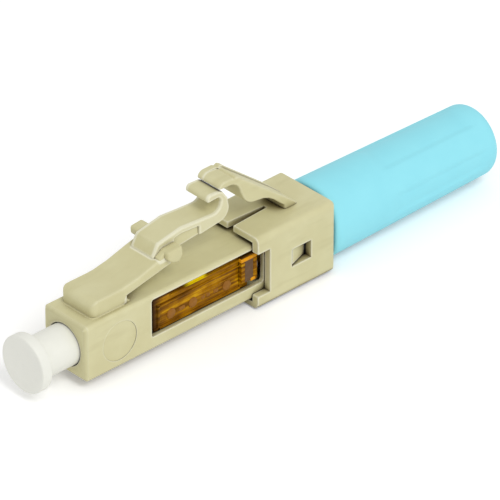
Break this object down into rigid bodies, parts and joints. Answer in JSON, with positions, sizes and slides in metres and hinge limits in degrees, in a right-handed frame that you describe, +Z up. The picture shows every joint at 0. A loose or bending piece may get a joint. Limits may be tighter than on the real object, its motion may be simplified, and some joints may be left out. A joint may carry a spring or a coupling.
{
  "type": "lc fibre optic connector",
  "caption": "Field-fitted LC fibre connector: square latching plug with trigger lever, amber splice holder in its side windows, long tapered boot and pull-off dust cap.",
  "frame": {"origin": "centre of the plug nose's front face, on the fibre's axis", "axes": "+X along the fibre from the plug's nose to the boot, +Z up towards the latch, +Y to the side"},
  "size_m": [0.0447, 0.0062, 0.011],
  "materials": {
    "body_plastic": "moulded, satin, beige",
    "boot_elastomer": "smooth aqua elastomer",
    "stem_plastic": "moulded, satin",
    "zirconia": "ground and polished white ceramic",
    "silica": "bare glass fibre",
    "amber_plastic": "translucent amber, glossy",
    "splice_polymer": "moulded, smooth",
    "spring_steel": "bright spring steel",
    "tube_brass": "drawn tube",
    "cap_plastic": "smooth white plastic"
  },
  "bodies": {
    "connector": {"plug_frame": "body_plastic", "rear_housing": "body_plastic", "backbone": "stem_plastic", "cable_collet": "stem_plastic", "float_spring": "spring_steel"},
    "latch": {"latch_arm": "body_plastic"},
    "trigger": {"trigger_lever": "body_plastic"},
    "ferrule_set": {"ferrule": "zirconia", "fibre_stub": "silica", "splice_holder": "amber_plastic", "splice_base": "splice_polymer", "splice_lid_front": "splice_polymer", "splice_lid_rear": "splice_polymer", "splice_clip": "spring_steel", "crimp_tube": "tube_brass"},
    "strain_boot": {"boot": "boot_elastomer"},
    "cap": {"dust_cap": "cap_plastic"}
  },
  "joints": [
    {"name": "trigger_press", "type": "hinge", "parent": "connector", "child": "trigger", "pos_m": [0.0202, 0, 0.00345], "axis": [0, -1, 0], "range_deg": [0, 16], "stiffness_Nm_per_rad": 0.0003},
    {"name": "latch_flex", "type": "hinge", "parent": "connector", "child": "latch", "pos_m": [0.00445, 0, 0.00298], "axis": [0, 1, 0], "range_deg": [0, 11.2], "stiffness_Nm_per_rad": 0.0003},
    {"name": "ferrule_float", "type": "slide", "parent": "connector", "child": "ferrule_set", "axis": [1, 0, 0], "range_m": [0, 0.0004], "stiffness_N_per_m": 50, "deforming": ["float_spring"]},
    {"name": "cap_pull", "type": "slide", "parent": "connector", "child": "cap", "axis": [-1, 0, 0], "range_m": [0, 0.012]},
    {"name": "boot_pull", "type": "slide", "parent": "connector", "child": "strain_boot", "axis": [1, 0, 0], "range_m": [0, 0.014]}
  ],
  "couplings": [
    {"joint": "latch_flex", "follows": "trigger_press", "ratio": 0.7}
  ]
}
